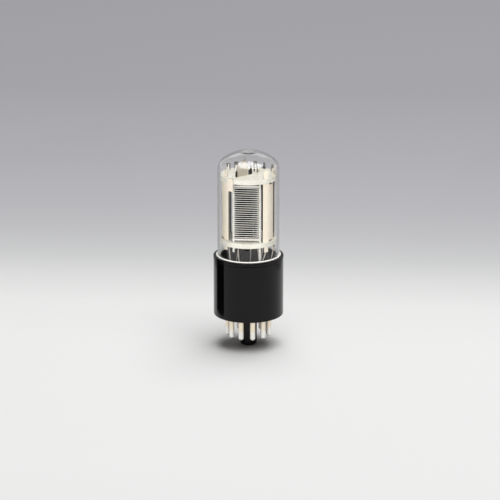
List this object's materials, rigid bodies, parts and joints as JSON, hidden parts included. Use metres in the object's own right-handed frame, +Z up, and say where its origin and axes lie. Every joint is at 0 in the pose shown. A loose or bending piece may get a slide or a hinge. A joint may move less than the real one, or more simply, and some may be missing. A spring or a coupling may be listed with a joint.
{
  "type": "side-on photomultiplier tube",
  "caption": "Glass side-on photomultiplier vacuum tube: wound entrance grid, slanted photocathode and curved dynodes between ceramic discs, on a black plug-in base with a keyed spigot.",
  "frame": {"origin": "on the tube's axis at the end of the locating spigot", "axes": "+Z up the tube's axis to the dome, the light window and the key face -Y"},
  "size_m": [0.0324, 0.0324, 0.0925],
  "materials": {
    "phenolic": "glossy black moulded phenolic",
    "cement": "matt basing cement",
    "bulb_glass": "clear drawn glass",
    "stem_glass": "clear pressed glass",
    "ceramic": "unglazed cream ceramic",
    "electrode_nickel": "satin nickel sheet with a warm coating",
    "cathode_metal": "dark polished photocathode coating",
    "grid_nickel": "bright nickel wire",
    "pin_metal": "nickel-plated brass with tinned tips",
    "solder": "bright tin-lead solder",
    "lead_metal": "drawn nickel wire"
  },
  "bodies": {
    "root": {"base_shell": "phenolic", "base_cement": "cement", "glass_bulb": "bulb_glass", "glass_stem": "stem_glass", "exhaust_tip": "stem_glass", "solder_drops": "solder", "lower_insulator": "ceramic", "upper_insulator": "ceramic", "photocathode": "cathode_metal", "cathode_shield": "electrode_nickel", "anode_grid": "grid_nickel", "grid_post_left": "grid_nickel", "grid_post_right": "grid_nickel", "grid_winding": "grid_nickel", "grid_cross_bars": "grid_nickel", "top_shield": "electrode_nickel", "bulb_spacers": "electrode_nickel", "dynode_1": "electrode_nickel", "dynode_2": "electrode_nickel", "dynode_3": "electrode_nickel", "dynode_4": "electrode_nickel", "dynode_5": "electrode_nickel", "dynode_6": "electrode_nickel", "dynode_7": "electrode_nickel", "dynode_8": "electrode_nickel", "dynode_9": "electrode_nickel", "contact_pin_1": "pin_metal", "contact_pin_2": "pin_metal", "contact_pin_3": "pin_metal", "contact_pin_4": "pin_metal", "contact_pin_5": "pin_metal", "contact_pin_6": "pin_metal", "contact_pin_7": "pin_metal", "contact_pin_8": "pin_metal", "contact_pin_9": "pin_metal", "contact_pin_10": "pin_metal", "contact_pin_11": "pin_metal", "lead_wire_1": "lead_metal", "lead_wire_2": "lead_metal", "lead_wire_3": "lead_metal", "lead_wire_4": "lead_metal", "lead_wire_5": "lead_metal", "lead_wire_6": "lead_metal", "lead_wire_7": "lead_metal", "lead_wire_8": "lead_metal", "lead_wire_9": "lead_metal", "lead_wire_10": "lead_metal", "lead_wire_11": "lead_metal"}
  },
  "joints": []
}
